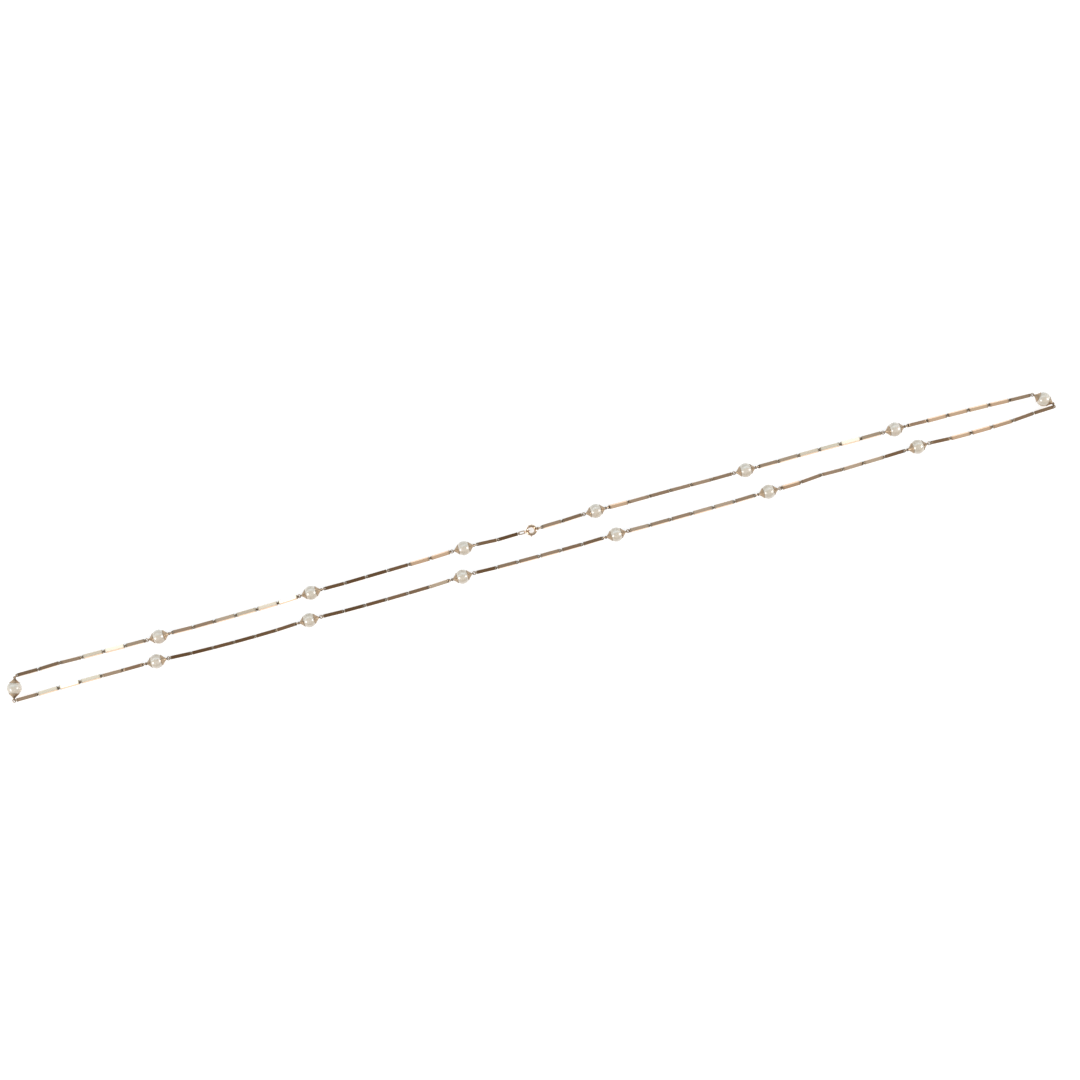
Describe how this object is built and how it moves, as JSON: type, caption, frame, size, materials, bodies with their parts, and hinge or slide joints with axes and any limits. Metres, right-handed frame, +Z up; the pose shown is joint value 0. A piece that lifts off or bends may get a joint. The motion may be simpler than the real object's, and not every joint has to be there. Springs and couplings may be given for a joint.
{
  "type": "long chain necklace",
  "caption": "Long gold station chain of square bars linked eye in eye, with round white pearls between conical caps and a spring ring clasp, lying flat as a narrow closed loop.",
  "frame": {"origin": "centre of the bounding box on the surface that the chain lies on", "axes": "+X along the length of the narrow loop, +Y across it towards the strand with the spring ring, +Z up from the surface"},
  "size_m": [0.4491, 0.0177, 0.006],
  "materials": {
    "pearl": "pearly lustre, soft gloss",
    "gold": "polished rose-yellow gold"
  },
  "bodies": {
    "chain": {"pearl_1": "pearl", "pearl_2": "pearl", "pearl_3": "pearl", "pearl_4": "pearl", "pearl_5": "pearl", "pearl_6": "pearl", "pearl_7": "pearl", "pearl_8": "pearl", "pearl_9": "pearl", "pearl_10": "pearl", "pearl_11": "pearl", "pearl_12": "pearl", "pearl_13": "pearl", "pearl_14": "pearl", "pearl_mount_1": "gold", "pearl_mount_2": "gold", "pearl_mount_3": "gold", "pearl_mount_4": "gold", "pearl_mount_5": "gold", "pearl_mount_6": "gold", "pearl_mount_7": "gold", "pearl_mount_8": "gold", "pearl_mount_9": "gold", "pearl_mount_10": "gold", "pearl_mount_11": "gold", "pearl_mount_12": "gold", "pearl_mount_13": "gold", "pearl_mount_14": "gold", "bar_run_1": "gold", "bar_run_2": "gold", "bar_run_3": "gold", "bar_run_4": "gold", "bar_run_5": "gold", "bar_run_6": "gold", "bar_run_7": "gold", "bar_run_8": "gold", "bar_run_9": "gold", "bar_run_10": "gold", "bar_run_11": "gold", "bar_run_12": "gold", "bar_run_13": "gold", "bar_run_14": "gold", "bar_run_15": "gold", "clasp_ring": "gold", "catch_ring": "gold", "oval_link": "gold", "side_ring": "gold"},
    "bolt": {"clasp_bolt": "gold"}
  },
  "joints": [
    {"name": "bolt_turn", "type": "hinge", "parent": "chain", "child": "bolt", "pos_m": [0.00017, 0.0055, 0.0012], "axis": [0, 0, 1], "range_deg": [0, 54], "stiffness_Nm_per_rad": 0.001, "springref_deg": -11.46}
  ]
}
